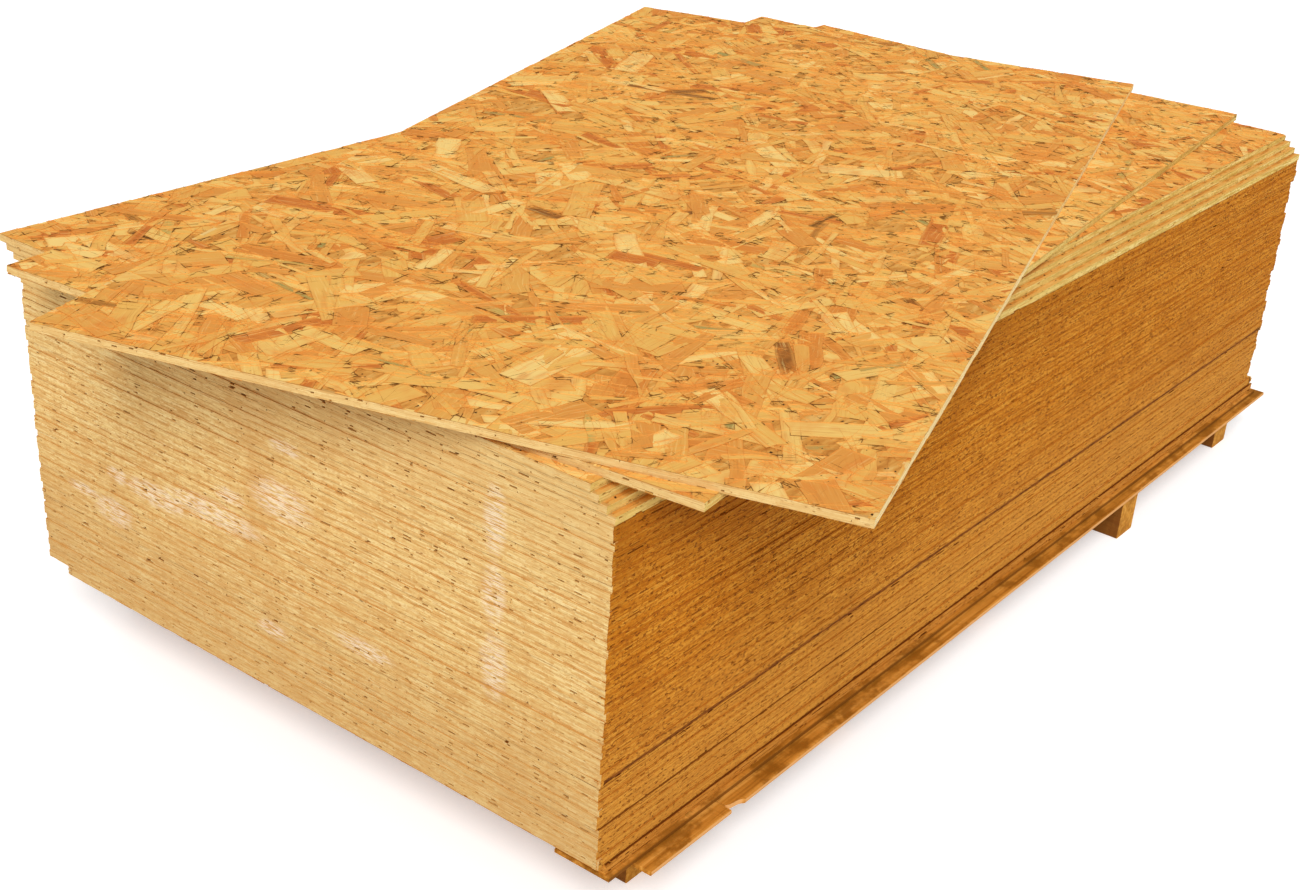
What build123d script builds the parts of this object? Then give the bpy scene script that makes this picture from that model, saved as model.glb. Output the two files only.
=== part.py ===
from build123d import *
import math
import os

# A stack of oriented strand board (OSB) panels on its packing timber.
# Millimetres. +Z is up, +X runs along the long side of the panels, away from
# the near end, and +Y runs across them, away from the near side.
# The origin is on the floor, under the middle of the stack.

# One panel, as it is sold
PANEL_LENGTH = 2440.0
PANEL_WIDTH = 1220.0
PANEL_THICKNESS = 12.5
SAWN_EDGE_WEAR = 0.8

# The squared-up pack: bundles of panels, from the bottom up. Each bundle has
# slipped a little as a whole: (panels in the bundle, slip along X, slip along Y).
BUNDLES = [
    (4, 1.0, 3.0),
    (6, 0.0, 1.5),
    (6, -3.0, -2.0),
    (6, -2.0, -1.0),
    (6, -1.0, -1.5),
    (5, 0.5, -0.5),
    (6, -0.5, -1.0),
    (5, 1.0, -2.5),
]
# The whole pack leans back towards the near end as it rises
PACK_LEAN = 22.0
# Each panel is out of line by up to this much, one way and the other
PANEL_JOG = 1.3
PANEL_JOG_PHASE = 137
# The bundles are twisted by up to this many degrees, one way and the other
BUNDLE_TWIST = 0.06
BUNDLE_TWIST_PHASE = 120

# Three panels on top step back one by one from the near side
STEPPED_PANELS = 3
STEP_BACK_X = -3.0
STEP_BACK_Y = 12.0

# Two loose panels lie on top, fanned out: (centre X, centre Y, turn in degrees)
FANNED_PANELS = [
    (-52.0, 20.0, 6.4),
    (-114.0, 32.0, 17.0),
]

# Bearers: softwood beams across the pack, which leave room for forks between
# them. Each is (centre X, near end Y, far end Y).
BEARER_WIDTH = 74.0
BEARER_HEIGHT = 95.0
BEARER_ROUNDING = 4.0
BEARERS = [
    (-1035.0, -565.0, 572.0),
    (-520.0, -572.0, 566.0),
    (0.0, -562.0, 578.0),
    (552.0, -630.0, 560.0),
    (1148.0, -598.0, 584.0),
]

# Edge boards lie on the ends of the bearers along the near side, end to end.
# The far one has a chipped corner where the two meet.
EDGE_BOARD_THICKNESS = 8.0
EDGE_BOARD_WIDTH = 145.0
EDGE_BOARD_SIDE_Y = -650.0
EDGE_BOARD_START_X = -1130.0
EDGE_BOARD_JOINT_X = -932.0
EDGE_BOARD_END_X = 1285.0
EDGE_BOARD_TURN = 0.35
EDGE_BOARD_ROUNDING = 2.5
JOINT_GAP = 3.0
CHIP_LENGTH = 34.0
CHIP_DEPTH = 15.0

# A thin lath lies on the edge boards, and two thicker ones stand in for both
# layers further in
NEAR_LATH_THICKNESS = 8.0
LATH_WIDTH = 100.0
NEAR_LATH_SIDE_Y = -620.0
NEAR_LATH_START_X = -1191.0
NEAR_LATH_END_X = 1262.0
INNER_LATH_CENTRES_Y = [0.0, 480.0]
INNER_LATH_LENGTH = 2280.0

# Bottom boards: one of 18 mm set in from the near end, and above it a narrower
# cover board that is flush with the pack
BOTTOM_BOARD_THICKNESS = 18.0
UNDER_BOARD_START_X = -1189.0
UNDER_BOARD_END_X = 1252.0
UNDER_BOARD_FAR_Y = 552.0
COVER_BOARD_START_X = -1208.0
COVER_BOARD_END_X = 1246.0
COVER_BOARD_FAR_Y = 564.0
BOTTOM_BOARD_SIDE_Y = -612.0

edge_board_level = BEARER_HEIGHT
near_lath_level = edge_board_level + EDGE_BOARD_THICKNESS
under_board_level = near_lath_level + NEAR_LATH_THICKNESS
cover_board_level = under_board_level + BOTTOM_BOARD_THICKNESS
pack_level = cover_board_level + BOTTOM_BOARD_THICKNESS


def save(builder, name):
    """Label a finished piece and write it out."""
    builder.part.label = name
    export_step(builder.part, "parts/" + name + ".step")


def make_panel(name, x, y, z, turn):
    """One OSB panel, lying flat with its underside at z."""
    with BuildPart() as panel:
        with BuildSketch(Plane(Location((x, y, z), (0, 0, turn)))):
            Rectangle(PANEL_LENGTH, PANEL_WIDTH)
        extrude(amount=PANEL_THICKNESS)
        rims = panel.edges().filter_by(Axis.Z, reverse=True)
        chamfer(rims, SAWN_EDGE_WEAR)
    save(panel, name)


def make_board(name, x_start, x_end, y_near, y_far, z, thickness):
    """A plain board that fills a rectangle on the level z."""
    with BuildPart() as board:
        with BuildSketch(Plane.XY.offset(z)):
            with Locations(((x_start + x_end) / 2, (y_near + y_far) / 2)):
                Rectangle(x_end - x_start, y_far - y_near)
        extrude(amount=thickness)
        rims = board.edges().filter_by(Axis.Z, reverse=True)
        chamfer(rims, SAWN_EDGE_WEAR)
    save(board, name)


def make_bearer(name, x, y_near, y_far):
    """A softwood beam across the pack, its four long corners rounded off."""
    with BuildPart() as bearer:
        with BuildSketch(Plane.XZ.offset(-y_near)):
            with Locations((x, BEARER_HEIGHT / 2)):
                RectangleRounded(BEARER_WIDTH, BEARER_HEIGHT, BEARER_ROUNDING)
        extrude(amount=-(y_far - y_near))
    save(bearer, name)


def pack_panels():
    """Place the panels of the squared-up pack and the three stepped ones."""
    total = sum(count for count, _, _ in BUNDLES)
    places = []
    for bundle, (count, slip_x, slip_y) in enumerate(BUNDLES):
        turn = BUNDLE_TWIST * math.cos(math.radians(BUNDLE_TWIST_PHASE * bundle))
        for _ in range(count):
            rise = (len(places) + 0.5) / total
            phase = math.radians(PANEL_JOG_PHASE * len(places))
            x = slip_x + PANEL_JOG * math.sin(phase) + PACK_LEAN * (0.5 - rise)
            y = slip_y + PANEL_JOG * math.cos(2 * phase)
            places.append((x, y, turn))
    x, y, turn = places[-1]
    for k in range(1, STEPPED_PANELS + 1):
        places.append((x + k * STEP_BACK_X, y + k * STEP_BACK_Y, turn))
    return places


os.makedirs("parts", exist_ok=True)

# Bearers
for number, (x, y_near, y_far) in enumerate(BEARERS, start=1):
    make_bearer(f"bearer_{number}", x, y_near, y_far)

# Edge boards, along the near side
with BuildPart() as edge_board_short:
    with BuildSketch(Plane.XY.offset(edge_board_level)):
        with Locations((EDGE_BOARD_START_X, EDGE_BOARD_SIDE_Y)):
            Rectangle(
                EDGE_BOARD_JOINT_X - EDGE_BOARD_START_X,
                EDGE_BOARD_WIDTH,
                align=(Align.MIN, Align.MIN),
            )
    extrude(amount=EDGE_BOARD_THICKNESS)
    outer_arrises = edge_board_short.edges().filter_by(Axis.X).group_by(Axis.Y)[0]
    fillet(outer_arrises, EDGE_BOARD_ROUNDING)
save(edge_board_short, "edge_board_short")

long_board_start = EDGE_BOARD_JOINT_X + JOINT_GAP
with BuildPart() as edge_board_long:
    board_corner = Location(
        (long_board_start, EDGE_BOARD_SIDE_Y, edge_board_level), (0, 0, EDGE_BOARD_TURN)
    )
    with BuildSketch(Plane(board_corner)):
        Rectangle(
            EDGE_BOARD_END_X - long_board_start,
            EDGE_BOARD_WIDTH,
            align=(Align.MIN, Align.MIN),
        )
        with BuildLine():
            chip = Spline(
                (0, CHIP_DEPTH),
                (CHIP_LENGTH * 0.35, CHIP_DEPTH * 0.62),
                (CHIP_LENGTH * 0.7, CHIP_DEPTH * 0.5),
                (CHIP_LENGTH, 0),
            )
            Polyline(chip @ 1, (0, 0), chip @ 0)
        make_face(mode=Mode.SUBTRACT)
    extrude(amount=EDGE_BOARD_THICKNESS)
    side = edge_board_long.faces().sort_by(Axis.Y)[0]
    outer_arrises = side.edges().filter_by(GeomType.LINE).sort_by(Edge.length)[-2:]
    fillet(outer_arrises, EDGE_BOARD_ROUNDING)
save(edge_board_long, "edge_board_long")

# Laths under the bottom boards
make_board(
    "near_lath",
    NEAR_LATH_START_X,
    NEAR_LATH_END_X,
    NEAR_LATH_SIDE_Y,
    NEAR_LATH_SIDE_Y + LATH_WIDTH,
    near_lath_level,
    NEAR_LATH_THICKNESS,
)
with BuildPart() as inner_laths:
    with BuildSketch(Plane.XY.offset(edge_board_level)):
        with Locations(*[(0, y) for y in INNER_LATH_CENTRES_Y]):
            Rectangle(INNER_LATH_LENGTH, LATH_WIDTH)
    extrude(amount=EDGE_BOARD_THICKNESS + NEAR_LATH_THICKNESS)
save(inner_laths, "inner_laths")

# Bottom boards
make_board(
    "under_board",
    UNDER_BOARD_START_X,
    UNDER_BOARD_END_X,
    BOTTOM_BOARD_SIDE_Y,
    UNDER_BOARD_FAR_Y,
    under_board_level,
    BOTTOM_BOARD_THICKNESS,
)
make_board(
    "cover_board",
    COVER_BOARD_START_X,
    COVER_BOARD_END_X,
    BOTTOM_BOARD_SIDE_Y,
    COVER_BOARD_FAR_Y,
    cover_board_level,
    BOTTOM_BOARD_THICKNESS,
)

# The pack, and the two fanned panels on top of it
level = pack_level
places = pack_panels()
for number, (x, y, turn) in enumerate(places, start=1):
    make_panel(f"panel_{number:02d}", x, y, level, turn)
    level += PANEL_THICKNESS
for number, (x, y, turn) in enumerate(FANNED_PANELS, start=1):
    make_panel(f"fanned_panel_{number}", x, y, level, turn)
    level += PANEL_THICKNESS
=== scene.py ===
import math

import bmesh
import bpy
import numpy as np
from mathutils import Matrix, Vector


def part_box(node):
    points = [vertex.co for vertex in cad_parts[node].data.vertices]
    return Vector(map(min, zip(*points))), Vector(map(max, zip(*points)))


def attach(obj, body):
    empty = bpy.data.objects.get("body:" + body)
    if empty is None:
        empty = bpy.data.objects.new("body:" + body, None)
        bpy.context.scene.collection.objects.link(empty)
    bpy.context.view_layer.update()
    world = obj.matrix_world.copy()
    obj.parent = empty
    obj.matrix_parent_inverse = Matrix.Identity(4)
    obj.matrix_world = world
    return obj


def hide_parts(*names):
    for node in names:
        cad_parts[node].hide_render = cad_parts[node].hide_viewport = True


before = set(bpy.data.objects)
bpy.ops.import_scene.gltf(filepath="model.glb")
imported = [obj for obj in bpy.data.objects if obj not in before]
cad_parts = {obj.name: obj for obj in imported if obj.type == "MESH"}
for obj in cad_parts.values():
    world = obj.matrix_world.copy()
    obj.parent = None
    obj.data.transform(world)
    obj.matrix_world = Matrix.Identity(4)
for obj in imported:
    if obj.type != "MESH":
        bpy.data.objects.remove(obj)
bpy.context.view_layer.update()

scene = bpy.context.scene
scene.view_settings.view_transform = "Standard"
BODY = "root"
MM = 0.001
X, Y, Z = range(3)

# Camera: the photograph's viewing angle
PHOTO_WIDTH = 1304
FOCAL_PIXELS = 1869.6
SENSOR_WIDTH = 36.0
CAMERA_PLACE = (-2.9025, -1.8484, 1.7954)
CAMERA_HEADING = math.radians(35.412)
CAMERA_PITCH = math.radians(-25.525)
CAMERA_ROLL = math.radians(4.787)


def make_camera():
    """A camera turned by its heading from +X, its pitch from the horizontal and its roll."""
    ahead = Vector((
        math.cos(CAMERA_PITCH) * math.cos(CAMERA_HEADING),
        math.cos(CAMERA_PITCH) * math.sin(CAMERA_HEADING),
        math.sin(CAMERA_PITCH),
    ))
    level_right = ahead.cross(Vector((0, 0, 1))).normalized()
    level_up = level_right.cross(ahead)
    right = math.cos(CAMERA_ROLL) * level_right + math.sin(CAMERA_ROLL) * level_up
    up = math.cos(CAMERA_ROLL) * level_up - math.sin(CAMERA_ROLL) * level_right
    data = bpy.data.cameras.new("camera")
    data.sensor_width = SENSOR_WIDTH
    data.lens = FOCAL_PIXELS * SENSOR_WIDTH / PHOTO_WIDTH
    camera = bpy.data.objects.new("camera", data)
    turn = Matrix((right, up, -ahead)).transposed().to_4x4()
    camera.matrix_world = Matrix.Translation(CAMERA_PLACE) @ turn
    scene.collection.objects.link(camera)
    scene.camera = camera


make_camera()


# Small helpers for node trees

def colour(hex_value):
    """Linear RGBA from an sRGB hex value."""
    parts = [int(hex_value[i:i + 2], 16) / 255 for i in (1, 3, 5)]
    linear = [p / 12.92 if p <= 0.04045 else ((p + 0.055) / 1.055) ** 2.4 for p in parts]
    return (*linear, 1.0)


def socket(sockets, key):
    """A node's socket by its number, or the first one in use with that name."""
    if isinstance(key, int):
        return sockets[key]
    return next(s for s in sockets if s.name == key and s.enabled)


def add(tree, kind, inputs=None, **settings):
    """Add a node with its settings; each input is a value, a node or a node's output socket."""
    node = tree.nodes.new(kind)
    for name, value in settings.items():
        setattr(node, name, value)
    for key, value in (inputs or {}).items():
        target = socket(node.inputs, key)
        if isinstance(value, bpy.types.Node):
            value = next(s for s in value.outputs if s.enabled)
        if isinstance(value, bpy.types.NodeSocket):
            tree.links.new(value, target)
        else:
            target.default_value = value
    return node


def calc(tree, operation, a, b=0.0, c=0.0):
    """A sum or other operation on numbers, in either kind of tree."""
    node = add(tree, "ShaderNodeMath", operation=operation)
    for target, value in zip(node.inputs, (a, b, c)):
        if isinstance(value, bpy.types.NodeSocket):
            tree.links.new(value, target)
        else:
            target.default_value = value
    return node.outputs[0]


def ramp(tree, factor, stops, interpolation="LINEAR"):
    """A colour ramp with (position, hex colour) stops."""
    node = add(tree, "ShaderNodeValToRGB", {"Fac": factor})
    band = node.color_ramp
    band.interpolation = interpolation
    while len(band.elements) < len(stops):
        band.elements.new(0.5)
    for element, (position, hex_value) in zip(band.elements, stops):
        element.position = position
        element.color = colour(hex_value)
    return node.outputs[0]


def mix(tree, factor, a, b):
    """Mix two colours; a factor of 0 gives a."""
    node = add(tree, "ShaderNodeMix", data_type="RGBA")
    # The factor and the two colours; the sockets in between are for other kinds of value
    for key, value in ((0, factor), (6, a), (7, b)):
        if isinstance(value, bpy.types.NodeSocket):
            tree.links.new(value, node.inputs[key])
        else:
            node.inputs[key].default_value = value
    return node.outputs[2]


def span(tree, value, low, high, to_low=0.0, to_high=1.0):
    """A smooth step, from to_low where the value is low to to_high where it is high."""
    node = add(tree, "ShaderNodeMapRange", {
        "Value": value, "From Min": low, "From Max": high, "To Min": to_low, "To Max": to_high,
    }, interpolation_type="SMOOTHSTEP")
    return node.outputs[0]


def stretched_noise(tree, vector, cell, detail=2.0, roughness=0.5, offset=(0, 0, 0)):
    """Noise with cells of about the given real size along X, Y and Z, in metres."""
    mapping = add(tree, "ShaderNodeMapping", {
        "Vector": vector, "Location": offset, "Scale": [1 / size for size in cell],
    })
    noise = add(tree, "ShaderNodeTexNoise", {
        "Vector": mapping, "Scale": 1.0, "Detail": detail, "Roughness": roughness,
    })
    return noise.outputs["Fac"]


def new_material(name):
    """An empty material and its node tree."""
    material = bpy.data.materials.new(name)
    material.use_nodes = True
    tree = material.node_tree
    tree.nodes.clear()
    return material, tree


# Dry, raw wood has next to no shine
WOOD_SPECULAR = 0.06


def finish_wood(tree, base, bump_height, bump_depth, roughness):
    """End a wood material: its colour, a bump of that depth in metres and its roughness."""
    bump = add(tree, "ShaderNodeBump", {
        "Height": bump_height, "Distance": bump_depth, "Strength": 1.0,
    })
    shader = add(tree, "ShaderNodeBsdfPrincipled", {
        "Base Color": base, "Roughness": roughness, "Specular IOR Level": WOOD_SPECULAR,
        "Normal": bump,
    })
    add(tree, "ShaderNodeOutputMaterial", {"Surface": shader})


# Materials

STRAND_TONES = [
    (0.00, "#f2cc7a"), (0.09, "#edc069"), (0.30, "#e8b35a"), (0.55, "#e2a54f"), (0.72, "#dd9543"),
    (0.83, "#d68537"), (0.89, "#c8702c"), (0.938, "#c6a657"), (0.956, "#a39452"), (0.972, "#ae722f"),
    (0.986, "#88521f"), (0.995, "#5c3812"),
]
# Above this tone a strand is olive or brown, and those are never broad
RARE_TONES = 0.938
# Each strand's grain is read at a place of its own, up to this far off
GRAIN_SHIFT = 37.0
# A strand's rim is feathered, and in places a painted shadow line runs along it
FEATHERED_RIM = 6 * MM
SHADOW_LINE_WIDTH = 1.7 * MM


def strand_material():
    """Softwood strands, sliced and pressed with resin: straw to orange, with grain along each one."""
    material, tree = new_material("pine_strand_pressed")
    tone = add(tree, "ShaderNodeAttribute", attribute_name="strand_tone").outputs["Fac"]
    seed = add(tree, "ShaderNodeAttribute", attribute_name="strand_seed").outputs["Fac"]
    size = add(tree, "ShaderNodeAttribute", attribute_name="strand_size").outputs["Vector"]
    place = add(tree, "ShaderNodeTexCoord").outputs["Object"]
    share = add(tree, "ShaderNodeUVMap", uv_map="UVMap")
    on_strand = add(tree, "ShaderNodeVectorMath", {0: share, 1: size}, operation="MULTIPLY")
    own = add(tree, "ShaderNodeSeparateXYZ", {0: on_strand}).outputs
    shift = calc(tree, "MULTIPLY", seed, GRAIN_SHIFT)
    grain_space = add(tree, "ShaderNodeCombineXYZ", {"X": own[X], "Y": own[Y], "Z": shift})
    streaks = stretched_noise(tree, grain_space, (70 * MM, 3 * MM, 1), 3.0, 0.6)
    blotch = stretched_noise(tree, grain_space, (60 * MM, 16 * MM, 1), 2.0, 0.5, (5, 3, 1))
    resin = stretched_noise(tree, place, (110 * MM, 70 * MM, 1), 3.0, 0.6)
    gloom = stretched_noise(tree, place, (30 * MM, 22 * MM, 1), 2.0, 0.5, (1, 8, 3))
    specks = stretched_noise(tree, place, (9 * MM, 5 * MM, 1), 1.0, 0.5, (4, 4, 0))
    base = ramp(tree, tone, STRAND_TONES, "CONSTANT")
    base = mix(tree, span(tree, resin, 0.50, 0.72, 0.0, 0.55), base, colour("#df8a3a"))
    base = mix(tree, span(tree, blotch, 0.50, 0.75, 0.0, 0.5), base, colour("#dc8438"))
    base = mix(tree, span(tree, streaks, 0.55, 0.75, 0.0, 0.5), base, colour("#c27a36"))
    base = mix(tree, span(tree, streaks, 0.46, 0.26, 0.0, 0.5), base, colour("#f5d384"))
    rim = None
    for axis in (X, Y):
        total = add(tree, "ShaderNodeSeparateXYZ", {0: size}).outputs[axis]
        other = calc(tree, "SUBTRACT", total, own[axis])
        nearest = calc(tree, "MINIMUM", own[axis], other)
        rim = nearest if rim is None else calc(tree, "MINIMUM", rim, nearest)
    feathered = span(tree, rim, 0.0, FEATHERED_RIM, 0.5, 0.0)
    base = mix(tree, feathered, base, colour("#e6a34e"))
    # A painted shadow along the strand's rim, in the patches where the gloom noise is high
    painted_shadow_line = span(tree, rim, 0.0, SHADOW_LINE_WIDTH, 1.0, 0.0)
    painted_shadow_line = calc(tree, "MULTIPLY", painted_shadow_line, span(tree, gloom, 0.55, 0.65, 0.0, 0.9))
    base = mix(tree, painted_shadow_line, base, colour("#5e3412"))
    # Small holes among the strands, painted dark as the shade inside them
    base = mix(tree, span(tree, specks, 0.76, 0.81, 0.0, 0.85), base, colour("#4a2c10"))
    finish_wood(tree, base, streaks, 0.2 * MM, 0.62)
    return material


def core_material():
    """The inside of a panel, seen between the strands: dark brown, painted as the shade in the gaps."""
    material, tree = new_material("resin_soaked_core")
    place = add(tree, "ShaderNodeTexCoord").outputs["Object"]
    spots = stretched_noise(tree, place, (14 * MM, 14 * MM, 2 * MM))
    base = ramp(tree, spots, [(0.35, "#5e2f0c"), (0.6, "#96561c")])
    finish_wood(tree, base, spots, 0.5 * MM, 0.8)
    return material


def face_material():
    """Lower strands on a panel's face, seen in the gaps between the top ones."""
    material, tree = new_material("lower_strands")
    place = add(tree, "ShaderNodeTexCoord").outputs["Object"]
    patches = stretched_noise(tree, place, (40 * MM, 12 * MM, 1), 3.0, 0.6)
    pits = stretched_noise(tree, place, (9 * MM, 6 * MM, 1), 1.0, 0.5, (3, 1, 0))
    base = ramp(tree, patches, [(0.3, "#b8742f"), (0.5, "#d49444"), (0.7, "#e2b062")])
    # Pits between the lower strands, painted dark as the shade inside them
    base = mix(tree, span(tree, pits, 0.66, 0.74, 0.0, 1.0), base, colour("#3a210d"))
    finish_wood(tree, base, patches, 0.4 * MM, 0.7)
    return material


# Chalky smears on the near end: (across the panels, up, half width, half height), in metres
CHALK_SMEARS = [
    (0.490, 0.327, 0.045, 0.012), (0.415, 0.312, 0.050, 0.028), (0.397, 0.386, 0.028, 0.016),
    (0.300, 0.384, 0.085, 0.024), (0.165, 0.404, 0.120, 0.024), (0.127, 0.450, 0.036, 0.014),
    (0.010, 0.483, 0.070, 0.038), (-0.005, 0.578, 0.036, 0.012), (0.043, 0.243, 0.036, 0.016),
    (-0.160, 0.300, 0.065, 0.018), (-0.412, 0.615, 0.022, 0.062), (-0.412, 0.500, 0.024, 0.052),
    (-0.415, 0.385, 0.028, 0.058),
]
CHALK_COLOUR = "#f2e4d0"
CHALK_STRENGTH = 0.55
# Where a smear has faded to nothing, as the square of a share of its half sizes
SMEAR_REACH = 1.3
# Where the four tones of the sawn strands stand on their scale
TONE_STOPS = (0.0, 0.35, 0.75, 1.0)
LINE_HEIGHT = 2.0 * MM
# The small voids are drawn about twice as coarse as real, so that they show
DASH_HEIGHT = 3.4 * MM
# What a dash share of 1 adds to the voids, and what the seam between two panels adds
DASH_GAIN = 0.2
SEAM_GAIN = 0.08
# Small dark flecks, wide changes of shade, and tall narrow streaks
FLECK_CELL = (7 * MM, 7 * MM, 4 * MM)
CLOUD_CELL = (0.13, 0.13, 0.25)
SWEEP_CELL = (16 * MM, 16 * MM, 0.5)
# The levels between which the painted light and shade near the floor and the painted shade near the top come
# in, and the places along the stack between which the painted shade near the top does
FLOOR_LIGHT_LEVELS = (0.50, 0.12)
TOP_SHADE_LEVELS = (0.50, 0.72)
TOP_SHADE_PLACES = (0.8, -0.6)


def sawn_material(
    name, tones, shades, line_length, dash_length, dash_share, mottle, relief, chalk=False,
):
    """
    Strands cut through by the saw: matt, in lines along the panel, darkest where panel meets panel. The
    tones are those of the strands, and the shades are the colours of the lines; of the voids, drawn as
    dashes and painted dark as the shade in them; of faces that look up, painted darker as shade; of those in
    a seam that gapes, painted as its shadow; of painted light and shade near the floor (low); and of painted
    shade near the top towards the near end, where the loose sheets overhang (high). A dash share above 0
    gives more voids, and one below 0 fewer. The mottle is the strength of the flecks, from 0 to 1, and the
    relief is the depth of the bump in metres.
    """
    material, tree = new_material(name)
    place = add(tree, "ShaderNodeTexCoord").outputs["Object"]
    tone = add(tree, "ShaderNodeAttribute", attribute_name="strand_tone").outputs["Fac"]
    layer = add(tree, "ShaderNodeAttribute", attribute_name="strand_layer").outputs["Fac"]
    # From 0 in the middle layer of a panel to 1 in its top and bottom ones
    outer = calc(tree, "ABSOLUTE", calc(tree, "MULTIPLY_ADD", layer, 2.0, -1.0))
    lines = stretched_noise(tree, place, (line_length, line_length, LINE_HEIGHT), 1.0, 0.5)
    dashes = stretched_noise(tree, place, (dash_length, dash_length, DASH_HEIGHT), 1.0, 0.5, (7, 2, 4))
    flecks = stretched_noise(tree, place, FLECK_CELL, 2.0, 0.6, (2, 8, 5))
    clouds = stretched_noise(tree, place, CLOUD_CELL, 3.0, 0.6, (1, 5, 2))
    sweep = stretched_noise(tree, place, SWEEP_CELL, 1.0, 0.5, (3, 1, 6))
    spot = add(tree, "ShaderNodeSeparateXYZ", {0: place}).outputs
    # Painted shade near the top towards the near end, where the loose sheets overhang
    near_end = span(tree, spot[X], *TOP_SHADE_PLACES, 0.0, 0.6)
    painted_top_shade = calc(tree, "MULTIPLY", span(tree, spot[Z], *TOP_SHADE_LEVELS), near_end)
    base = ramp(tree, tone, list(zip(TONE_STOPS, tones)))
    base = mix(tree, span(tree, lines, 0.47, 0.30, 0.0, 0.4), base, colour(tones[0]))
    base = mix(tree, span(tree, lines, 0.55, 0.75, 0.0, 0.25), base, colour(shades["lines"]))
    base = mix(tree, span(tree, flecks, 0.52, 0.62, 0.0, mottle), base, colour(shades["lines"]))
    base = mix(tree, span(tree, clouds, 0.48, 0.72, 0.0, 0.5), base, colour(tones[-1]))
    base = mix(tree, span(tree, sweep, 0.50, 0.70, 0.0, 0.3), base, colour(tones[-1]))
    # Painted light and shade low down, in the colour that each finish gives as low
    base = mix(tree, span(tree, spot[Z], *FLOOR_LIGHT_LEVELS, 0.0, 0.45), base, colour(shades["low"]))
    # Painted shade near the top, in the colour that each finish gives as high
    base = mix(tree, painted_top_shade, base, colour(shades["high"]))
    seam = calc(tree, "MULTIPLY", span(tree, outer, 0.6, 1.0), span(tree, lines, 0.40, 0.62, 0.0, 0.5))
    base = mix(tree, seam, base, colour(shades["lines"]))
    # The voids are painted dark, as the shade inside them
    crowd = calc(tree, "ADD", dashes, DASH_GAIN * dash_share)
    crowd = calc(tree, "MULTIPLY_ADD", outer, SEAM_GAIN, crowd)
    base = mix(tree, span(tree, crowd, 0.72, 0.79, 0.0, 0.75), base, colour(shades["voids"]))
    if chalk:
        base = mix(tree, chalk_mask(tree, place, lines), base, colour(CHALK_COLOUR))
    # Faces that look up are painted darker as shade, and below a gaping seam they are painted as its shadow
    facing = add(tree, "ShaderNodeNewGeometry").outputs["True Normal"]
    upward = add(tree, "ShaderNodeSeparateXYZ", {0: facing}).outputs[Z]
    gap = add(tree, "ShaderNodeAttribute", attribute_name="painted_seam_shadow").outputs["Fac"]
    ledge_shade = mix(tree, gap, colour(shades["ledges"]), colour(shades["gaps"]))
    base = mix(tree, span(tree, upward, 0.5, 0.9), base, ledge_shade)
    finish_wood(tree, base, lines, relief, 0.75)
    return material


def chalk_mask(tree, place, lines):
    """Where the near end is smeared with chalk: soft ellipses, broken up by the strands."""
    spot = add(tree, "ShaderNodeSeparateXYZ", {0: place}).outputs
    total = None
    for across, up, half_width, half_height in CHALK_SMEARS:
        dy = calc(tree, "DIVIDE", calc(tree, "SUBTRACT", spot[Y], across), half_width)
        dz = calc(tree, "DIVIDE", calc(tree, "SUBTRACT", spot[Z], up), half_height)
        distance = calc(tree, "ADD", calc(tree, "MULTIPLY", dy, dy), calc(tree, "MULTIPLY", dz, dz))
        patch = span(tree, distance, SMEAR_REACH, 0.0)
        total = patch if total is None else calc(tree, "MAXIMUM", total, patch)
    on_near_end = calc(tree, "LESS_THAN", spot[X], 0.0)
    broken = span(tree, lines, 0.60, 0.42)
    masked = calc(tree, "MULTIPLY", calc(tree, "MULTIPLY", total, broken), on_near_end)
    return calc(tree, "MULTIPLY", masked, CHALK_STRENGTH)


# Growth rings run on along a timber, and the saw's marks run across it
RING_WIDTH = 9 * MM
RING_RUN = 260 * MM
SAW_MARK_WIDTH = 3.5 * MM
SAW_MARK_RUN = 90 * MM


def softwood_material(name, light, middle, dark, along, odd_side, odd_colour):
    """
    Rough-sawn softwood: growth rings as stripes along the timber, and saw marks across it. The faces that
    look along the axis odd_side, one way or the other, have another colour, which on the bearers and on the
    laths under the boards is painted shade.
    """
    material, tree = new_material(name)
    place = add(tree, "ShaderNodeTexCoord").outputs["Object"]
    long_cell = [RING_WIDTH] * 3
    long_cell[along] = RING_RUN
    grain = stretched_noise(tree, place, long_cell, 4.0, 0.6)
    saw_cell = [SAW_MARK_RUN] * 3
    saw_cell[along] = SAW_MARK_WIDTH
    saw = stretched_noise(tree, place, saw_cell, 1.0, 0.5, (2, 2, 2))
    stains = stretched_noise(tree, place, (60 * MM, 40 * MM, 40 * MM), 4.0, 0.65)
    base = ramp(tree, grain, [(0.3, light), (0.5, middle), (0.72, dark)])
    base = mix(tree, span(tree, stains, 0.44, 0.64, 0.0, 0.8), base, colour(dark))
    base = mix(tree, span(tree, saw, 0.55, 0.75, 0.0, 0.3), base, colour(dark))
    facing = add(tree, "ShaderNodeSeparateXYZ", {
        0: add(tree, "ShaderNodeNewGeometry").outputs["True Normal"],
    }).outputs[odd_side]
    turned = span(tree, calc(tree, "ABSOLUTE", facing), 0.5, 0.9, 0.0, 0.85)
    base = mix(tree, turned, base, colour(odd_colour))
    height = calc(tree, "ADD", calc(tree, "MULTIPLY", saw, 0.6), grain)
    finish_wood(tree, base, height, 0.7 * MM, 0.75)
    return material


STRANDS = strand_material()
CORE = core_material()
FACE = face_material()
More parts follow.
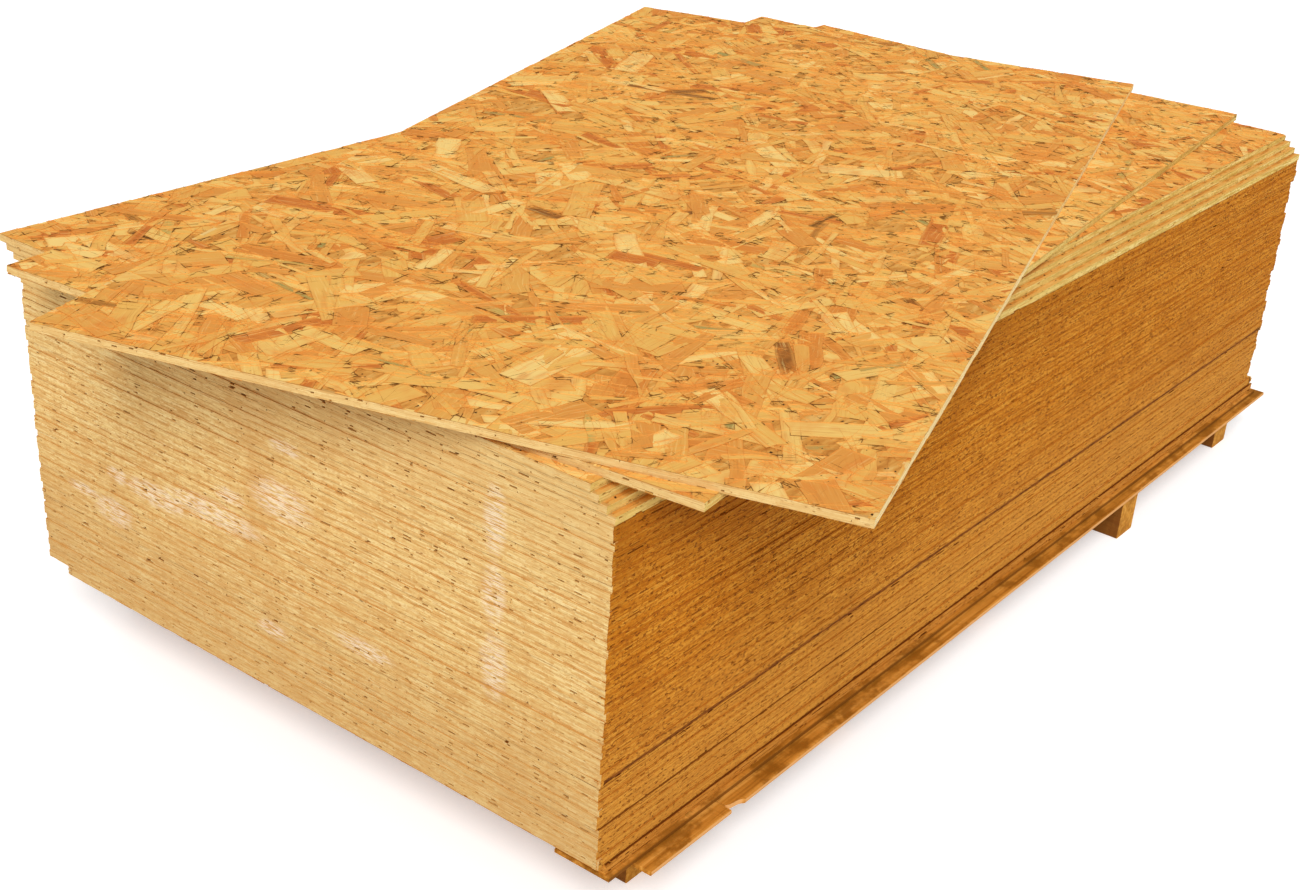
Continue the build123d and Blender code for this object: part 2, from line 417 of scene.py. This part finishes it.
# In the sawn finishes below, the voids, ledges and gaps colours are painted shade, low is painted light and
# shade near the floor, and high is painted shade near the top
# A panel's two ends: pale straw, even, and smeared with chalk at the near end
SAWN_ACROSS = sawn_material(
    "strand_ends_sawn",
    ("#ebd093", "#e4c380", "#ddb572", "#cf9f5e"),
    {"lines": "#c48c46", "voids": "#9c6428", "ledges": "#cc9a56", "gaps": "#9a5f24",
     "low": "#b88f58", "high": "#dcb878"},
    line_length=20 * MM, dash_length=10 * MM, dash_share=-0.12, mottle=0.4, relief=0.06 * MM,
    chalk=True,
)
# Its long sides: a darker orange brown, speckled with voids
SAWN_ALONG = sawn_material(
    "strand_sides_sawn",
    ("#da9734", "#d18824", "#c67919", "#b2680f"),
    {"lines": "#a05a10", "voids": "#642f04", "ledges": "#b06c22", "gaps": "#5c2202",
     "low": "#d89e48", "high": "#98590a"},
    line_length=10 * MM, dash_length=8 * MM, dash_share=0.3, mottle=0.75, relief=0.05 * MM,
)
# The long sides of the topmost panels of the pack and of the lower loose sheet: still yellow
SAWN_FRESH = sawn_material(
    "strand_sides_fresh",
    ("#f2da90", "#e8ca76", "#dcbb62", "#c6a04a"),
    {"lines": "#b98e3c", "voids": "#80591c", "ledges": "#dba656", "gaps": "#dba656",
     "low": "#dba656", "high": "#dfc070"},
    line_length=26 * MM, dash_length=10 * MM, dash_share=0.05, mottle=0.5, relief=0.08 * MM,
)
# The long sides of the top loose sheet: cream, the palest of all, painted lighter as light on the thin edge
SAWN_LOOSE = sawn_material(
    "strand_sides_painted_light",
    ("#fff1c2", "#fde8ae", "#f7dc98", "#e9c57c"),
    {"lines": "#dcb468", "voids": "#9a7430", "ledges": "#e8c078", "gaps": "#e8c078",
     "low": "#f7dc98", "high": "#f9e4ac"},
    line_length=26 * MM, dash_length=10 * MM, dash_share=0.0, mottle=0.5, relief=0.06 * MM,
)
# The under board, all the way round: stained orange brown
SAWN_UNDER = sawn_material(
    "strand_sides_stained",
    ("#d99a48", "#d08c38", "#c67e2c", "#b0691c"),
    {"lines": "#a5600d", "voids": "#6e3605", "ledges": "#8e4c10", "gaps": "#6a3408",
     "low": "#cc8836", "high": "#cc8836"},
    line_length=20 * MM, dash_length=10 * MM, dash_share=0.2, mottle=0.5, relief=0.08 * MM,
)
# The bearers' long sides are painted darker than their sawn ends, as shade. The laths' long edges are paler
# than their faces, except where one is in under the bottom boards: there they are painted dark, as the shade
# under the boards.
BEARER = softwood_material(
    "softwood_rough_sawn", "#dfa54a", "#cd8d34", "#a3681f",
    along=Y, odd_side=X, odd_colour="#6e3d18",
)
LATH = softwood_material(
    "packing_lath_weathered", "#d99a45", "#bd7c2b", "#86500f",
    along=X, odd_side=Y, odd_colour="#dfa668",
)
LATH_SHADED_SIDES = softwood_material(
    "packing_lath_painted_shade", "#d99a45", "#bd7c2b", "#86500f",
    along=X, odd_side=Y, odd_colour="#7c4a14",
)


# Geometry Nodes trees

def geometry_tree(name, sizes):
    """An empty tree with named inputs: each is its socket kind and default value."""
    tree = bpy.data.node_groups.new(name, "GeometryNodeTree")
    tree.interface.new_socket("Geometry", in_out="OUTPUT", socket_type="NodeSocketGeometry")
    for key, (kind, default) in sizes.items():
        item = tree.interface.new_socket(key, in_out="INPUT", socket_type=kind)
        if default is not None:
            item.default_value = default
    return tree, tree.nodes.new("NodeGroupInput").outputs


def chance(tree, low, high, seed, offset):
    """A random number for each point; the offset keeps the draws of one tree apart."""
    node = add(tree, "FunctionNodeRandomValue", {
        "Min": low, "Max": high, "Seed": calc(tree, "ADD", seed, offset),
    }, data_type="FLOAT")
    return socket(node.outputs, "Value")


def keep_attribute(tree, geometry, name, value, kind, domain):
    """Store a value on the geometry under a name that the materials read."""
    return add(tree, "GeometryNodeStoreNamedAttribute", {
        "Geometry": geometry, "Name": name, "Value": value,
    }, data_type=kind, domain=domain).outputs[0]


# Of the strands' widths, from 0 to 1, this and more is broad. A broad strand of a rare tone is
# given a plain one, this much lower.
BROAD = 0.6
TONE_DROP = -0.5
# A strand leans this many times as much about its length as across it
LEAN_RATIO = 3.0
# How uneven a strand is in height
CURL = 0.15 * MM


def strand_mat_tree():
    """Loose flat strands strewn over a panel's face, each a flake with thin side walls."""
    tree, given = geometry_tree("strand_mat", {
        "Length": ("NodeSocketFloat", 2.44),
        "Width": ("NodeSocketFloat", 1.22),
        "Strands": ("NodeSocketInt", 1000),
        "Shortest": ("NodeSocketFloat", 80 * MM),
        "Longest": ("NodeSocketFloat", 200 * MM),
        "Narrowest": ("NodeSocketFloat", 12 * MM),
        "Widest": ("NodeSocketFloat", 54 * MM),
        "Lift": ("NodeSocketFloat", 1.3 * MM),
        "Tilt": ("NodeSocketFloat", 0.006),
        "Ragged": ("NodeSocketFloat", 3.5 * MM),
        "Flake": ("NodeSocketFloat", 0.8 * MM),
        "Seed": ("NodeSocketInt", 1),
        "Finish": ("NodeSocketMaterial", None),
    })
    seed = given["Seed"]
    spread_x = calc(tree, "MULTIPLY", given["Length"], 0.5)
    spread_y = calc(tree, "MULTIPLY", given["Width"], 0.5)
    x = calc(tree, "MULTIPLY", chance(tree, -1.0, 1.0, seed, 1), spread_x)
    y = calc(tree, "MULTIPLY", chance(tree, -1.0, 1.0, seed, 2), spread_y)
    z = calc(tree, "MULTIPLY", chance(tree, 0.0, 1.0, seed, 3), given["Lift"])
    place = add(tree, "ShaderNodeCombineXYZ", {"X": x, "Y": y, "Z": z})
    points = add(tree, "GeometryNodePoints", {"Count": given["Strands"], "Position": place})

    flat = add(tree, "GeometryNodeMeshGrid", {
        "Size X": 1.0, "Size Y": 1.0, "Vertices X": 4, "Vertices Y": 3,
    })
    flake = keep_attribute(tree, flat.outputs[0], "UVMap", flat.outputs[1], "FLOAT2", "CORNER")

    turn = chance(tree, -math.pi / 2, math.pi / 2, seed, 4)
    tilt_x = calc(tree, "MULTIPLY", chance(tree, -LEAN_RATIO, LEAN_RATIO, seed, 5), given["Tilt"])
    tilt_y = calc(tree, "MULTIPLY", chance(tree, -1.0, 1.0, seed, 6), given["Tilt"])
    turns = add(tree, "ShaderNodeCombineXYZ", {"X": tilt_x, "Y": tilt_y, "Z": turn})
    length = add(tree, "ShaderNodeMapRange", {
        "Value": chance(tree, 0.0, 1.0, seed, 7), "To Min": given["Shortest"], "To Max": given["Longest"],
    }).outputs[0]
    slim = chance(tree, 0.0, 1.0, seed, 8)
    width = add(tree, "ShaderNodeMapRange", {
        "Value": calc(tree, "MULTIPLY", slim, slim), "To Min": given["Narrowest"], "To Max": given["Widest"],
    }).outputs[0]
    size = add(tree, "ShaderNodeCombineXYZ", {"X": length, "Y": width, "Z": 1.0})
    strewn = add(tree, "GeometryNodeInstanceOnPoints", {
        "Points": points, "Instance": flake, "Rotation": turns, "Scale": size,
    }).outputs[0]
    strewn = keep_attribute(tree, strewn, "strand_size", size.outputs[0], "FLOAT_VECTOR", "INSTANCE")
    tone = chance(tree, 0.0, 1.0, seed, 9)
    rare = calc(tree, "GREATER_THAN", tone, RARE_TONES)
    broad = calc(tree, "GREATER_THAN", slim, BROAD)
    tone = calc(tree, "MULTIPLY_ADD", calc(tree, "MULTIPLY", rare, broad), TONE_DROP, tone)
    strewn = keep_attribute(tree, strewn, "strand_tone", tone, "FLOAT", "INSTANCE")
    own_seed = chance(tree, 0.0, 1.0, seed, 10)
    strewn = keep_attribute(tree, strewn, "strand_seed", own_seed, "FLOAT", "INSTANCE")
    real = add(tree, "GeometryNodeRealizeInstances", {"Geometry": strewn})

    jog_x = calc(tree, "MULTIPLY", chance(tree, -1.0, 1.0, seed, 11), given["Ragged"])
    jog_y = calc(tree, "MULTIPLY", chance(tree, -1.0, 1.0, seed, 12), given["Ragged"])
    jog_z = chance(tree, -CURL, CURL, seed, 13)
    jog = add(tree, "ShaderNodeCombineXYZ", {"X": jog_x, "Y": jog_y, "Z": jog_z})
    ragged = add(tree, "GeometryNodeSetPosition", {"Geometry": real, "Offset": jog})
    border = add(tree, "FunctionNodeCompare", {
        "A": add(tree, "GeometryNodeInputMeshEdgeNeighbors").outputs[0], "B": 1,
    }, data_type="INT", operation="EQUAL")
    walled = add(tree, "GeometryNodeExtrudeMesh", {
        "Mesh": ragged, "Selection": border, "Offset": (0, 0, -1), "Offset Scale": given["Flake"],
    }, mode="EDGES")
    painted = add(tree, "GeometryNodeSetMaterial", {"Geometry": walled, "Material": given["Finish"]})
    crisp = add(tree, "GeometryNodeSetShadeSmooth", {"Geometry": painted, "Shade Smooth": False})
    add(tree, "NodeGroupOutput", {0: crisp})
    return tree


# A rim's four runs go anticlockwise from the near side, so the last one is the near end
NEAR_SIDES = (0, 3)
# A seam that gapes along the sides is nearly closed across the ends
END_GAP_SHARE = 0.35
# Keeps the seeds of the four runs apart
SIDE_SEED_STEP = 100.0
# Keeps a whole number of layers from being rounded down to the column before
INDEX_NUDGE = 0.01
# A strand end is this many spacings long and this many layers high, and dips by up to an angle
END_REACH = (0.85, 2.2)
END_HEIGHT = (0.92, 1.02)
END_DIP = 0.012
# A face that looks this much along the run is a block's own end, and within this distance of the
# corner it shows there
END_ON = 0.7
CORNER_REACH = 0.1 * MM


def sawn_rim_tree():
    """The sawn strand ends round a panel's edge, in layers through its thickness."""
    tree, given = geometry_tree("sawn_rim", {
        "Length": ("NodeSocketFloat", 2.44),
        "Width": ("NodeSocketFloat", 1.22),
        "Thickness": ("NodeSocketFloat", 12.5 * MM),
        "Layers": ("NodeSocketInt", 5),
        "Spacing Sides": ("NodeSocketFloat", 50 * MM),
        "Spacing Ends": ("NodeSocketFloat", 28 * MM),
        "Proud": ("NodeSocketFloat", 0.4 * MM),
        "Depth": ("NodeSocketFloat", 7 * MM),
        "Seam": ("NodeSocketFloat", 0.15 * MM),
        "Gap Below": ("NodeSocketFloat", 0.0),
        "Painted Seam Shadow": ("NodeSocketFloat", 0.0),
        "Near Set Back": ("NodeSocketFloat", 0.0),
        "Seed": ("NodeSocketInt", 1),
        "Finish Sides": ("NodeSocketMaterial", None),
        "Finish Ends": ("NodeSocketMaterial", None),
    })
    half_length = calc(tree, "MULTIPLY", given["Length"], 0.5)
    half_width = calc(tree, "MULTIPLY", given["Width"], 0.5)
    block = add(tree, "GeometryNodeMeshCube", {"Size": (1, 1, 1)})
    normal = add(tree, "ShaderNodeSeparateXYZ", {0: add(tree, "GeometryNodeInputNormal")})
    hidden = calc(tree, "GREATER_THAN", normal.outputs[1], 0.5)
    open_block = add(tree, "GeometryNodeDeleteGeometry", {
        "Geometry": block.outputs[0], "Selection": hidden,
    }, domain="FACE")
    layers = given["Layers"]
    index = add(tree, "GeometryNodeInputIndex").outputs[0]
    layer = calc(tree, "FLOORED_MODULO", index, layers)
    nudged = calc(tree, "ADD", index, INDEX_NUDGE)
    step = calc(tree, "FLOOR", calc(tree, "DIVIDE", nudged, layers))
    depth_share = calc(tree, "DIVIDE", layer, calc(tree, "SUBTRACT", layers, 1.0))
    runs = []
    for side in range(4):
        seed = calc(tree, "ADD", given["Seed"], SIDE_SEED_STEP * side)
        along_side = side % 2 == 0
        run = given["Length"] if along_side else given["Width"]
        away = half_width if along_side else half_length
        spacing = given["Spacing Sides"] if along_side else given["Spacing Ends"]
        finish, corner_finish = given["Finish Sides"], given["Finish Ends"]
        if not along_side:
            finish, corner_finish = corner_finish, finish
        share = 1.0 if along_side else END_GAP_SHARE
        gap = calc(tree, "MULTIPLY", given["Gap Below"], share)
        clear = calc(tree, "SUBTRACT", given["Thickness"], calc(tree, "ADD", given["Seam"], gap))
        pitch = calc(tree, "DIVIDE", clear, layers)
        lower_gap = calc(tree, "MULTIPLY_ADD", given["Seam"], 0.5, gap)
        height = calc(tree, "MULTIPLY_ADD", calc(tree, "ADD", layer, 0.5), pitch, lower_gap)
        steps = calc(tree, "CEIL", calc(tree, "DIVIDE", run, spacing))
        stride = calc(tree, "DIVIDE", run, steps)
        jitter = chance(tree, 0.1, 0.9, seed, 1)
        x = calc(tree, "MULTIPLY", calc(tree, "ADD", step, jitter), stride)
        x = calc(tree, "SUBTRACT", x, calc(tree, "MULTIPLY", run, 0.5))
        out = calc(tree, "MULTIPLY", chance(tree, -1.0, 1.0, seed, 2), given["Proud"])
        if side in NEAR_SIDES:
            out = calc(tree, "SUBTRACT", out, calc(tree, "MULTIPLY", given["Near Set Back"], share))
        inner = calc(tree, "SUBTRACT", calc(tree, "MULTIPLY", given["Depth"], 0.5), away)
        y = calc(tree, "SUBTRACT", inner, out)
        place = add(tree, "ShaderNodeCombineXYZ", {"X": x, "Y": y, "Z": height})
        points = add(tree, "GeometryNodePoints", {
            "Count": calc(tree, "MULTIPLY", steps, layers), "Position": place,
        })
        reach = calc(tree, "MULTIPLY", spacing, chance(tree, *END_REACH, seed, 3))
        tall = calc(tree, "MULTIPLY", pitch, chance(tree, *END_HEIGHT, seed, 4))
        size = add(tree, "ShaderNodeCombineXYZ", {"X": reach, "Y": given["Depth"], "Z": tall})
        tip = add(tree, "ShaderNodeCombineXYZ", {"Y": chance(tree, -END_DIP, END_DIP, seed, 5)})
        ends = add(tree, "GeometryNodeInstanceOnPoints", {
            "Points": points, "Instance": open_block, "Rotation": tip, "Scale": size,
        }).outputs[0]
        tone = chance(tree, 0.0, 1.0, seed, 6)
        ends = keep_attribute(tree, ends, "strand_tone", tone, "FLOAT", "INSTANCE")
        ends = keep_attribute(tree, ends, "strand_layer", depth_share, "FLOAT", "INSTANCE")
        # How strongly the ledges below a gaping seam are painted with its shadow
        ends = keep_attribute(tree, ends, "painted_seam_shadow", given["Painted Seam Shadow"], "FLOAT", "INSTANCE")
        real = add(tree, "GeometryNodeRealizeInstances", {"Geometry": ends})
        limit = calc(tree, "MULTIPLY", run, 0.5)
        here = add(tree, "ShaderNodeSeparateXYZ", {0: add(tree, "GeometryNodeInputPosition")}).outputs
        clipped = calc(tree, "MAXIMUM", here[X], calc(tree, "MULTIPLY", limit, -1.0))
        clipped = calc(tree, "MINIMUM", clipped, limit)
        trimmed = add(tree, "GeometryNodeSetPosition", {
            "Geometry": real,
            "Position": add(tree, "ShaderNodeCombineXYZ", {"X": clipped, "Y": here[Y], "Z": here[Z]}),
        })
        painted = add(tree, "GeometryNodeSetMaterial", {"Geometry": trimmed, "Material": finish})
        facing = add(tree, "ShaderNodeSeparateXYZ", {0: add(tree, "GeometryNodeInputNormal")})
        block_ends = calc(tree, "GREATER_THAN", calc(tree, "ABSOLUTE", facing.outputs[X]), END_ON)
        cut_off = calc(tree, "SUBTRACT", limit, CORNER_REACH)
        at_corner = calc(tree, "GREATER_THAN", calc(tree, "ABSOLUTE", here[X]), cut_off)
        painted = add(tree, "GeometryNodeSetMaterial", {
            "Geometry": painted, "Selection": calc(tree, "MULTIPLY", block_ends, at_corner),
            "Material": corner_finish,
        })
        turned = add(tree, "GeometryNodeTransform", {
            "Geometry": painted, "Rotation": (0, 0, side * math.pi / 2),
        })
        runs.append(turned)
    joined = add(tree, "GeometryNodeJoinGeometry")
    for run in runs:
        tree.links.new(run.outputs[0], joined.inputs[0])
    crisp = add(tree, "GeometryNodeSetShadeSmooth", {"Geometry": joined, "Shade Smooth": False})
    add(tree, "NodeGroupOutput", {0: crisp})
    return tree


def grow(name, tree, values):
    """Run a tree with these input values, and give a plain object with the resulting mesh."""
    carrier = bpy.data.objects.new(name, bpy.data.meshes.new(name))
    scene.collection.objects.link(carrier)
    modifier = carrier.modifiers.new("grow", "NODES")
    modifier.node_group = tree
    for item in tree.interface.items_tree:
        if item.in_out == "INPUT" and item.name in values:
            modifier[item.identifier] = values[item.name]
    depsgraph = bpy.context.evaluated_depsgraph_get()
    mesh = bpy.data.meshes.new_from_object(
        carrier.evaluated_get(depsgraph), preserve_all_data_layers=True, depsgraph=depsgraph
    )
    bpy.data.objects.remove(carrier)
    grown = bpy.data.objects.new(name, mesh)
    scene.collection.objects.link(grown)
    return grown


# Panels

STRAND_MAT = strand_mat_tree()
SAWN_RIM = sawn_rim_tree()
PANEL_LAYERS = 5
BOARD_LAYERS = 7
CORE_INSET = 5.5 * MM
# A mat is strewn over this much more than the panel, sunk into its face by so much, and sawn
# off this far inside its edges. Under another panel it goes on for the covered margin.
STREWN_BEYOND = 80 * MM
MAT_SINK = 0.5 * MM
MAT_INSET = 0.2 * MM
COVERED_MARGIN = 40 * MM
SAW_SLACK = 1e-7
# A panel's or board's long edges, told from its other edges and diagonals: the length that they
# come nearest to, the least length, and the steepest slope in plan
PANEL_LENGTH = 2.44
LEAST_LENGTH = 2.3
STEEPEST_SLOPE = 0.35


class Placing:
    """Where a panel lies: the matrix from its own middle, and its length, width and thickness."""

    def __init__(self, node):
        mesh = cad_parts[node].data
        spots = np.array([v.co for v in mesh.vertices])
        pairs = np.array([e.vertices for e in mesh.edges])
        edges = (spots[pairs[:, 1]] - spots[pairs[:, 0]])[:, :2]
        low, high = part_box(node)
        middle = Vector(((low.x + high.x) / 2, (low.y + high.y) / 2, low.z))
        lengths = np.hypot(edges[:, X], edges[:, Y])
        level = np.abs(edges[:, Y]) < STEEPEST_SLOPE * np.abs(edges[:, X])
        lengthwise = edges[(lengths > LEAST_LENGTH) & level]
        misfits = np.abs(np.hypot(lengthwise[:, X], lengthwise[:, Y]) - PANEL_LENGTH)
        longest = lengthwise[np.argmin(misfits)]
        turn = math.atan2(longest[Y], longest[X])
        if abs(turn) > math.pi / 2:
            turn -= math.copysign(math.pi, turn)
        self.matrix = Matrix.Translation(middle) @ Matrix.Rotation(turn, 4, "Z")
        to_own = self.matrix.inverted()
        own = spots @ np.array(to_own.to_3x3()).T + np.array(to_own.translation)
        self.length, self.width, self.thickness = own.max(0) - own.min(0)

    def covers(self, point, margin):
        """Whether a point, seen from above, is inside the panel by the margin."""
        own = self.matrix.inverted() @ point
        return abs(own.x) < self.length / 2 - margin and abs(own.y) < self.width / 2 - margin


def core(name, placing):
    """The panel's body behind its sawn edge, with lower strands on its two faces."""
    mesh = bpy.data.meshes.new(name)
    bm = bmesh.new()
    bmesh.ops.create_cube(bm, size=1.0)
    size = (placing.length - 2 * CORE_INSET, placing.width - 2 * CORE_INSET, placing.thickness)
    bmesh.ops.scale(bm, vec=size, verts=bm.verts)
    bmesh.ops.translate(bm, vec=(0, 0, placing.thickness / 2), verts=bm.verts)
    for face in bm.faces:
        face.material_index = 1 if abs(face.normal.z) > 0.5 else 0
    bm.to_mesh(mesh)
    bm.free()
    mesh.materials.append(CORE)
    mesh.materials.append(FACE)
    body = bpy.data.objects.new(name, mesh)
    scene.collection.objects.link(body)
    return body


def trim(mat, placing, keep):
    """Saw a strand mat off at the panel's edges, and leave out faces that keep() refuses."""
    bm = bmesh.new()
    bm.from_mesh(mat.data)
    half = (placing.length / 2 - MAT_INSET, placing.width / 2 - MAT_INSET)
    for axis in (X, Y):
        for sign in (-1, 1):
            spot = [0, 0, 0]
            spot[axis] = sign * half[axis]
            away = [0, 0, 0]
            away[axis] = sign
            bmesh.ops.bisect_plane(
                bm, geom=bm.verts[:] + bm.edges[:] + bm.faces[:], dist=SAW_SLACK,
                plane_co=spot, plane_no=away, clear_outer=True,
            )
    refused = [f for f in bm.faces if not keep(placing.matrix @ f.calc_center_median())]
    bmesh.ops.delete(bm, geom=refused, context="FACES")
    bm.to_mesh(mat.data)
    bm.free()


def strand_mat(name, placing, strands, seed, keep, underside=False):
    """Strands over the top or the underside of a panel, where keep() wants them."""
    mat = grow(name, STRAND_MAT, {
        "Length": placing.length + STREWN_BEYOND, "Width": placing.width + STREWN_BEYOND,
        "Strands": strands, "Seed": seed, "Finish": STRANDS,
    })
    if underside:
        mat.data.transform(Matrix.Translation((0, 0, MAT_SINK)) @ Matrix.Rotation(math.pi, 4, "X"))
    else:
        mat.data.transform(Matrix.Translation((0, 0, placing.thickness - MAT_SINK)))
    trim(mat, placing, keep)
    return mat


def join(name, parts):
    """Join objects into one piece of that name."""
    first = parts[0]
    with bpy.context.temp_override(active_object=first, selected_editable_objects=parts):
        bpy.ops.object.join()
    first.name = name
    return first


# How far the seams under these panels gape, where two bundles of the pack meet, and how strongly the ledges
# of the panels below them are painted with the seam's shadow, from 0 to 1
GAPING_SEAMS = {
    "cover_board": 0.4 * MM, "panel_05": 1.4 * MM, "panel_11": 6.4 * MM, "panel_40": 1.6 * MM,
}
PAINTED_SEAM_SHADOWS = {"under_board": 1.0, "panel_04": 0.6, "panel_10": 1.0, "panel_39": 0.6}
# The rims of these two are set back on the near side, so that the seam below them shows
SET_BACK = {"panel_11": 4.2 * MM, "cover_board": 3.2 * MM}


def make_panel(
    node, seed, layers=PANEL_LAYERS, mats=(), sides=SAWN_ALONG, ends=SAWN_ACROSS,
):
    """Replace a panel's node: its core, its sawn rim and any strand mats."""
    placing = PLACINGS[node]
    rim = grow(node + "_rim", SAWN_RIM, {
        "Length": placing.length, "Width": placing.width, "Thickness": placing.thickness,
        "Layers": layers, "Seed": seed,
        "Gap Below": GAPING_SEAMS.get(node, 0.0), "Painted Seam Shadow": PAINTED_SEAM_SHADOWS.get(node, 0.0),
        "Near Set Back": SET_BACK.get(node, 0.0), "Finish Sides": sides, "Finish Ends": ends,
    })
    piece = join(node + "_strand_board", [core(node + "_core", placing), rim, *mats])
    piece.data.transform(placing.matrix)
    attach(piece, BODY)
    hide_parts(node)


def outside(*covering):
    """Keep what these panels don't cover, or everything where none is given."""
    return lambda point: not any(PLACINGS[n].covers(point, COVERED_MARGIN) for n in covering)


pack_nodes = sorted(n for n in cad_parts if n.startswith("panel_"))
board_nodes = ["under_board", "cover_board"]
top_sheet, lower_sheet, pack_top = "fanned_panel_2", "fanned_panel_1", pack_nodes[-1]
PLACINGS = {n: Placing(n) for n in [*pack_nodes, *board_nodes, top_sheet, lower_sheet]}
# The panels at the top of the pack that are still pale along their sides
PALE_PANELS = pack_nodes[-4:]
TOP_STRANDS = 3600
UNDER_STRANDS = 1800
# The rims of the pack have seeds of their own, in steps from the bottom panel up
PACK_SEED = 1000
PACK_SEED_STEP = 7

for number, node in enumerate(pack_nodes):
    mats = []
    if node == pack_top:
        keep = outside(lower_sheet, top_sheet)
        mats.append(strand_mat("pack_top_strands", PLACINGS[node], TOP_STRANDS, seed=31, keep=keep))
    make_panel(
        node, seed=PACK_SEED + PACK_SEED_STEP * number, mats=mats,
        sides=SAWN_FRESH if node in PALE_PANELS else SAWN_ALONG,
    )
make_panel(
    "under_board", seed=5000, layers=BOARD_LAYERS, sides=SAWN_UNDER, ends=SAWN_UNDER,
)
make_panel("cover_board", seed=5011, layers=BOARD_LAYERS)

placing = PLACINGS[lower_sheet]
make_panel(lower_sheet, seed=6001, sides=SAWN_FRESH, mats=[
    strand_mat("lower_top", placing, TOP_STRANDS, seed=41, keep=outside(top_sheet)),
    strand_mat("lower_under", placing, UNDER_STRANDS, seed=43, keep=outside(pack_top), underside=True),
])
placing = PLACINGS[top_sheet]
make_panel(top_sheet, seed=7001, sides=SAWN_LOOSE, mats=[
    strand_mat("top_top", placing, TOP_STRANDS, seed=57, keep=outside()),
    strand_mat("top_under", placing, UNDER_STRANDS, seed=59, keep=outside(lower_sheet), underside=True),
])

# Packing timber
for node, material in (
    *((f"bearer_{n}", BEARER) for n in range(1, 6)),
    *((n, LATH_SHADED_SIDES) for n in ("near_lath", "inner_laths")),
    *((n, LATH) for n in ("edge_board_short", "edge_board_long")),
):
    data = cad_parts[node].data
    data.materials.clear()
    data.materials.append(material)


# Studio

FLOOR_SIZE = 80.0
FLOOR_COLOUR = "#f2f2f2"
WHITE = (1, 1, 1, 1)
# What the floor shows of its own to the camera, so that it is white away from the shadow
FLOOR_GLOW = 0.3


def make_floor():
    """A pale, matt floor that keeps the stack's shadow."""
    mesh = bpy.data.meshes.new("floor")
    half = FLOOR_SIZE / 2
    corners = [(-half, -half, 0), (half, -half, 0), (half, half, 0), (-half, half, 0)]
    mesh.from_pydata(corners, [], [(0, 1, 2, 3)])
    material, tree = new_material("studio_floor_white")
    shader = add(tree, "ShaderNodeBsdfPrincipled", {
        "Base Color": colour(FLOOR_COLOUR), "Roughness": 0.9, "Specular IOR Level": 0.0,
    })
    camera_ray = add(tree, "ShaderNodeLightPath").outputs["Is Camera Ray"]
    glow = add(tree, "ShaderNodeEmission", {
        "Color": WHITE, "Strength": calc(tree, "MULTIPLY", camera_ray, FLOOR_GLOW),
    })
    both = add(tree, "ShaderNodeAddShader", {0: shader, 1: glow})
    add(tree, "ShaderNodeOutputMaterial", {"Surface": both})
    mesh.materials.append(material)
    floor = bpy.data.objects.new("floor", mesh)
    scene.collection.objects.link(floor)


# Light: a soft sun from above the near end, and an even white sky. Each is the light that it
# gives to a face square to it, where 1 shows a colour as it is written.
SKY_LIGHT = 0.46
SUN_TOWARDS = Vector((-0.50, -0.38, 0.57))
SUN_SOFTNESS = math.radians(30)


def make_sun():
    """The sun, set to shine from the direction SUN_TOWARDS."""
    data = bpy.data.lights.new("sun", "SUN")
    data.energy = math.pi * SUN_TOWARDS.length
    data.angle = SUN_SOFTNESS
    sun = bpy.data.objects.new("sun", data)
    sun.matrix_world = SUN_TOWARDS.to_track_quat("Z", "Y").to_matrix().to_4x4()
    scene.collection.objects.link(sun)


def make_sky():
    """A white sky: dim as a light, and full white to the camera."""
    world = bpy.data.worlds.new("studio")
    world.use_nodes = True
    tree = world.node_tree
    tree.nodes.clear()
    camera_ray = add(tree, "ShaderNodeLightPath").outputs["Is Camera Ray"]
    strength = calc(tree, "MULTIPLY_ADD", camera_ray, 1 - SKY_LIGHT, SKY_LIGHT)
    background = add(tree, "ShaderNodeBackground", {"Color": WHITE, "Strength": strength})
    add(tree, "ShaderNodeOutputWorld", {"Surface": background})
    scene.world = world


make_floor()
make_sky()
make_sun()
